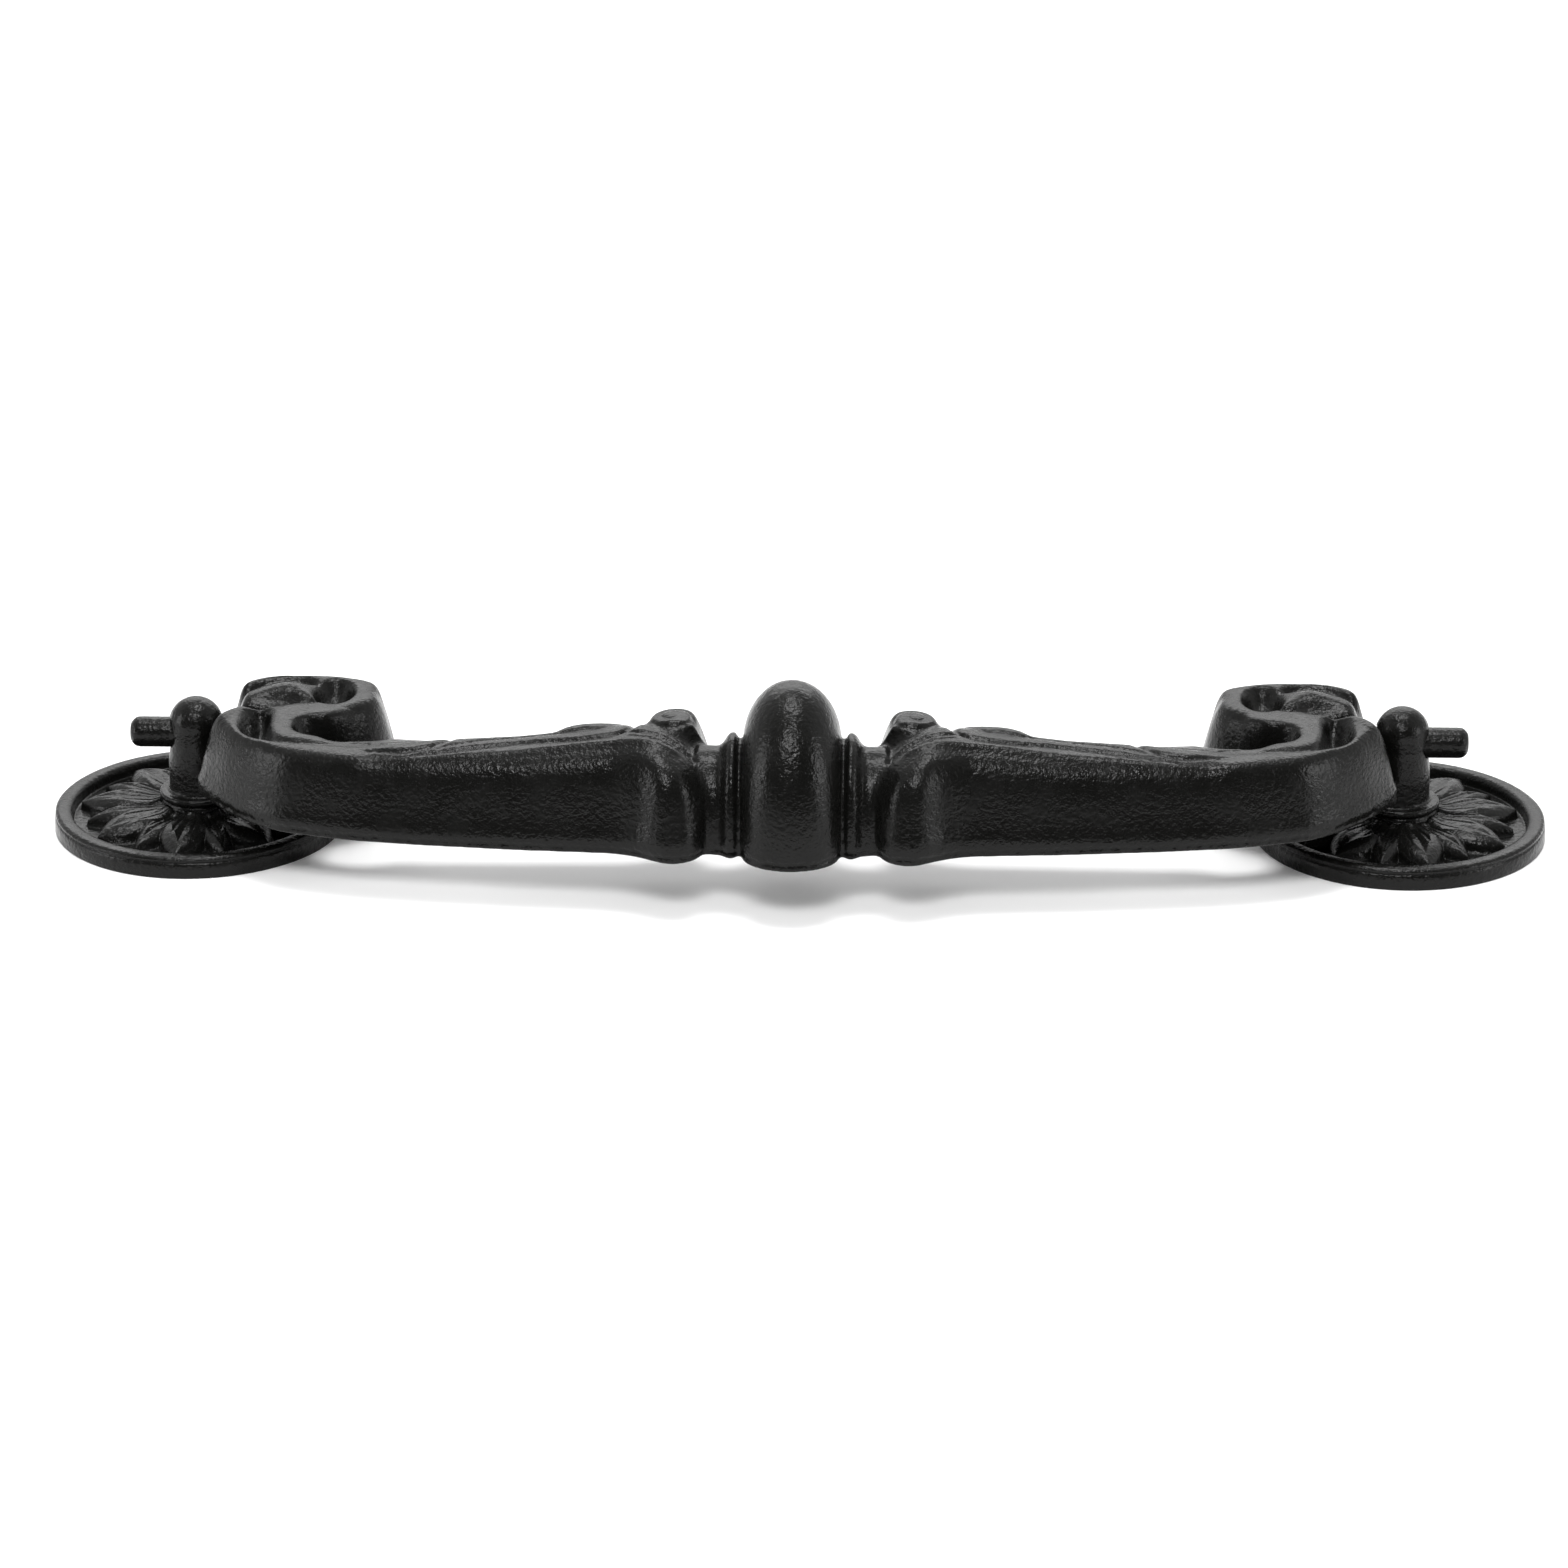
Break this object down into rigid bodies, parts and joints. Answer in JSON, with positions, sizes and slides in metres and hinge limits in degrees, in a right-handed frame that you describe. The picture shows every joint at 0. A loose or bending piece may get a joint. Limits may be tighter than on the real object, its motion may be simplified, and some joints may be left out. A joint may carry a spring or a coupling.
{
  "type": "bail pull",
  "caption": "Cast bail handle with scrolled ends and a turned centre, swinging on pins in two posts that stand on round petalled rosettes.",
  "frame": {"origin": "on the mounting face, midway between the two fixing screws", "axes": "+X along the pull to the right, +Y up the drawer or door face, +Z out of the face towards the user"},
  "size_m": [0.159, 0.0423, 0.0231],
  "materials": {
    "black_casting": "satin black coating on zinc casting"
  },
  "bodies": {
    "mounting": {"left_post": "black_casting", "right_post": "black_casting", "left_rosette": "black_casting", "right_rosette": "black_casting"},
    "bail": {"bail": "black_casting"}
  },
  "joints": [
    {"name": "bail_swing", "type": "hinge", "parent": "mounting", "child": "bail", "pos_m": [0, 0, 0.0104], "axis": [-1, 0, 0], "range_deg": [-10, 160]}
  ]
}
